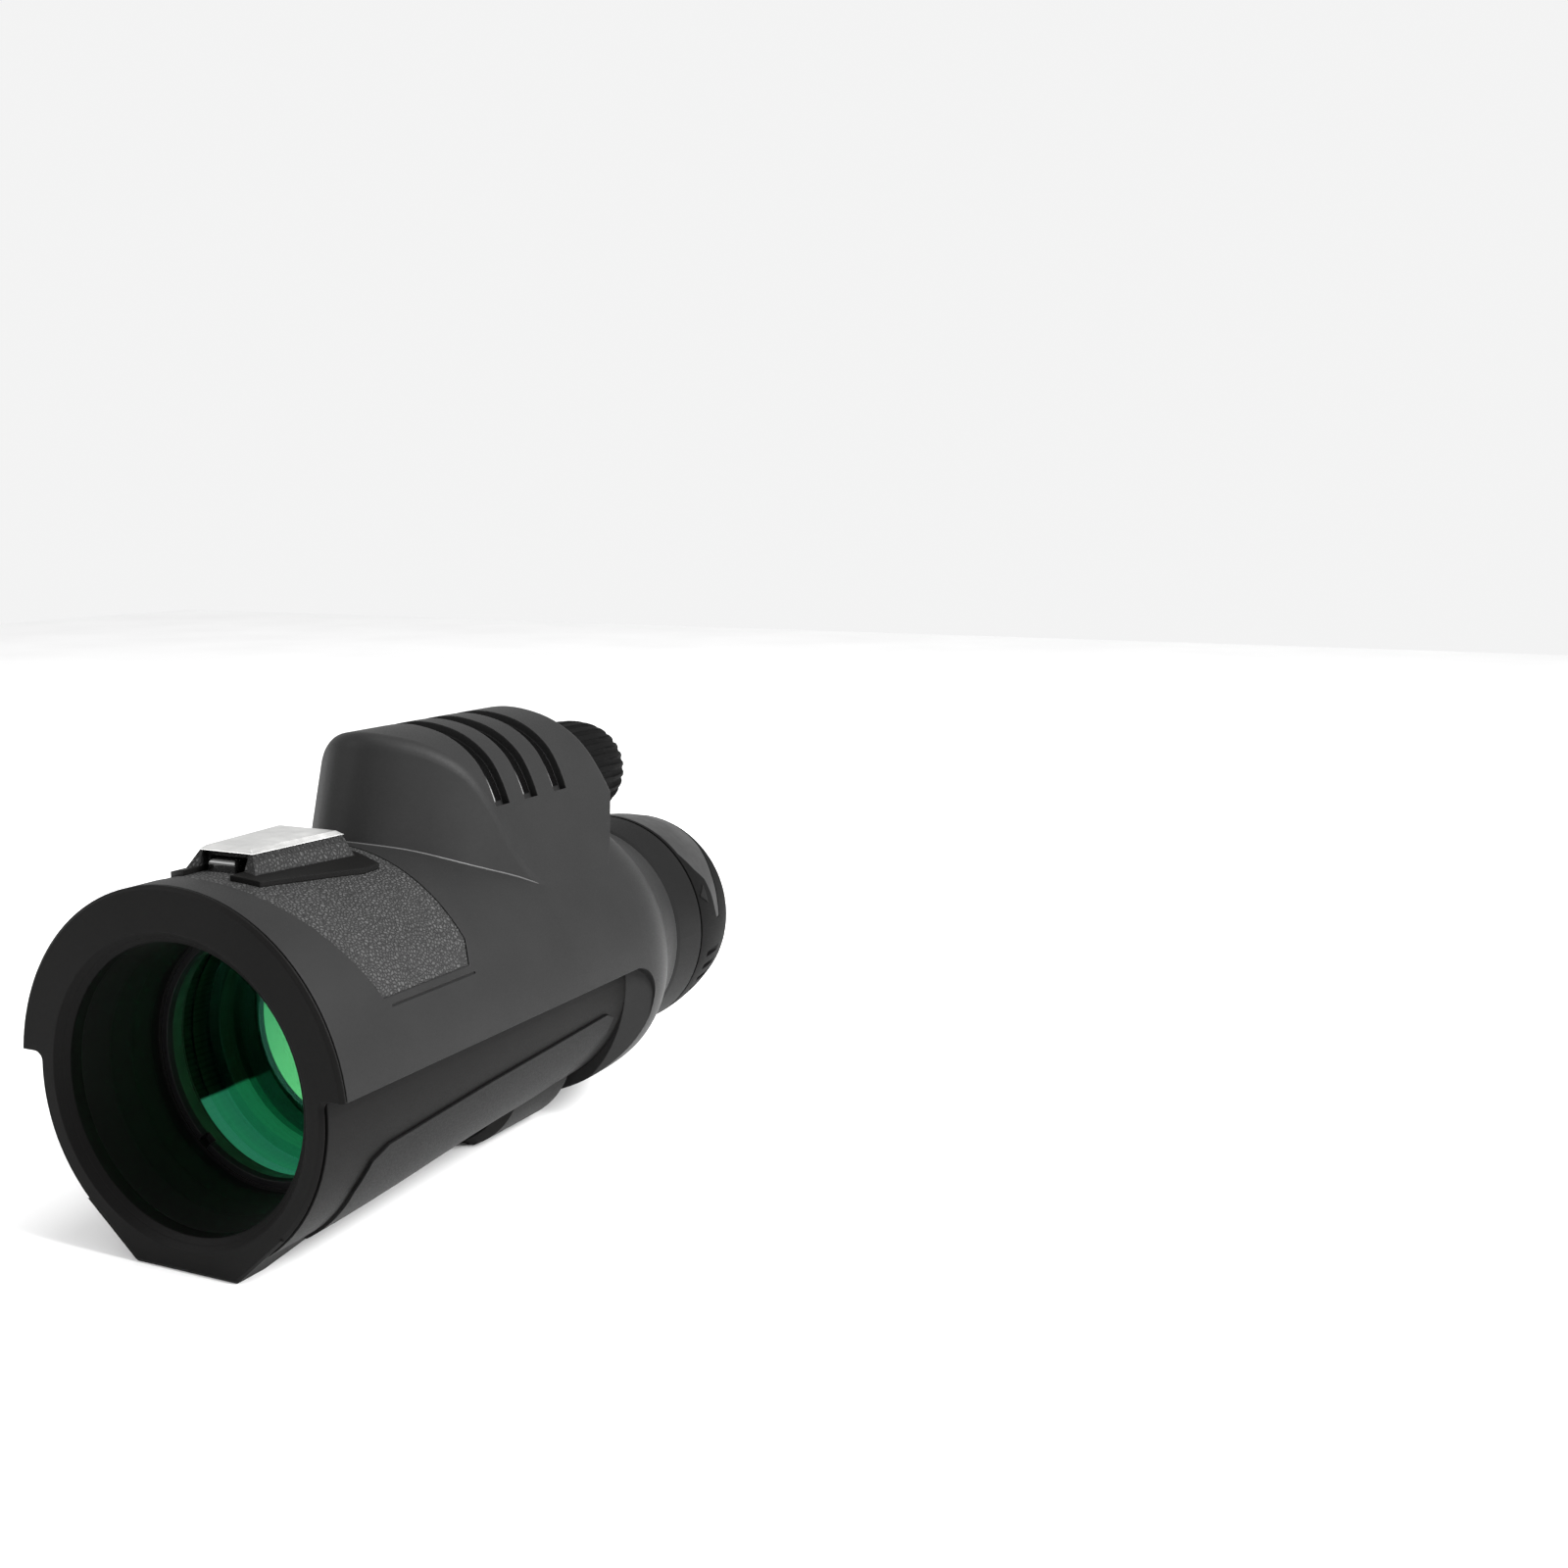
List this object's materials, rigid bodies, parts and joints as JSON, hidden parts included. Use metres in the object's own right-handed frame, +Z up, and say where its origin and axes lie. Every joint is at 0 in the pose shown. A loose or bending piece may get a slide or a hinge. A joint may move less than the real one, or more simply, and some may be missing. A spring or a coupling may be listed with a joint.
{
  "type": "monocular spotting scope",
  "caption": "Compact straight-through monocular spotting scope with a top focus knob, recessed objective, twist-up eyecup and a foot and threaded boss underneath.",
  "frame": {"origin": "centre of the overall box, on the plane the scope rests on", "axes": "+Y along the optical axis from the objective (-Y end) to the eyepiece (+Y end), +X across to the scope's left as seen by the user, +Z up through the focus knob"},
  "size_m": [0.064, 0.145, 0.0782],
  "materials": {
    "armour": "satin",
    "dark_armour": "satin",
    "grip_pad": "matte",
    "inlay": "matte",
    "black_plastic": "matte",
    "gloss_black": "gloss",
    "grey_panel": "satin",
    "light_mark": "satin",
    "silver": "satin",
    "black_aluminium": "matte",
    "housing": "matte",
    "steel": "satin",
    "brass": "satin",
    "seal_rubber": "matte",
    "coated_glass": "polished",
    "clear_glass": "polished"
  },
  "bodies": {
    "scope_body": {"main_housing": "housing", "upper_armour": "armour", "lower_armour": "dark_armour", "front_ring": "dark_armour", "grip_pad_left": "grip_pad", "grip_pad_right": "grip_pad", "top_inlay": "inlay", "badge_base": "dark_armour", "badge_block": "inlay", "badge_plate": "silver", "sight_post": "gloss_black", "focus_cover": "armour", "cover_screws": "steel", "tripod_bush": "brass", "objective_cell": "black_aluminium", "objective_retainer": "black_aluminium", "objective_seal": "seal_rubber", "objective_crown": "coated_glass", "objective_flint": "clear_glass", "front_baffle": "black_plastic", "guide_rods": "steel", "front_bearing": "black_plastic", "shaft_bush": "brass", "shaft_seal": "seal_rubber", "prism_cage": "black_plastic", "prism_clip": "steel", "prism_screws": "steel", "roof_prism": "clear_glass", "deviating_prism": "clear_glass", "eyepiece_collar": "armour", "eyepiece_barrel": "black_aluminium", "cam_pins": "steel", "field_stop": "black_aluminium", "field_stop_spacer": "black_aluminium", "field_lens": "coated_glass", "eyepiece_spacer": "black_aluminium", "eye_doublet_flint": "clear_glass", "eye_doublet_crown": "clear_glass", "eye_lens_spacer": "black_aluminium", "eye_lens": "coated_glass", "eyepiece_retainer": "black_plastic"},
    "focus_knob": {"knob_grip": "dark_armour", "knob_hub": "black_plastic", "knob_cap": "black_plastic", "knob_screw": "steel", "focus_screw": "steel", "shaft_clip": "steel"},
    "focus_carriage": {"focus_nut": "brass", "focus_arm": "black_aluminium", "arm_screws": "steel", "focus_lens_cell": "black_aluminium", "focus_lens": "clear_glass"},
    "eyecup_guide": {"guide_ring": "black_aluminium"},
    "eyecup": {"eyecup_sleeve": "black_aluminium", "eyecup": "armour", "eyecup_panel": "grey_panel", "index_mark": "light_mark", "guide_clip": "steel"}
  },
  "joints": [
    {"name": "focus_turn", "type": "hinge", "parent": "scope_body", "child": "focus_knob", "pos_m": [0, 0.036, 0.0628], "axis": [0, 1, 0], "range_deg": [-270, 270]},
    {"name": "focus_slide", "type": "slide", "parent": "scope_body", "child": "focus_carriage", "axis": [0, 1, 0], "range_m": [-0.0038, 0.0038]},
    {"name": "eyecup_lift", "type": "slide", "parent": "scope_body", "child": "eyecup_guide", "axis": [0, 1, 0], "range_m": [0, 0.00551]},
    {"name": "eyecup_twist", "type": "hinge", "parent": "eyecup_guide", "child": "eyecup", "pos_m": [0, 0.06, 0.0285], "axis": [0, 1, 0], "range_deg": [0, 100]}
  ],
  "couplings": [
    {"joint": "focus_slide", "follows": "focus_turn", "m_per_rad": 0.00079577},
    {"joint": "eyecup_lift", "follows": "eyecup_twist", "m_per_rad": 0.0031513}
  ]
}
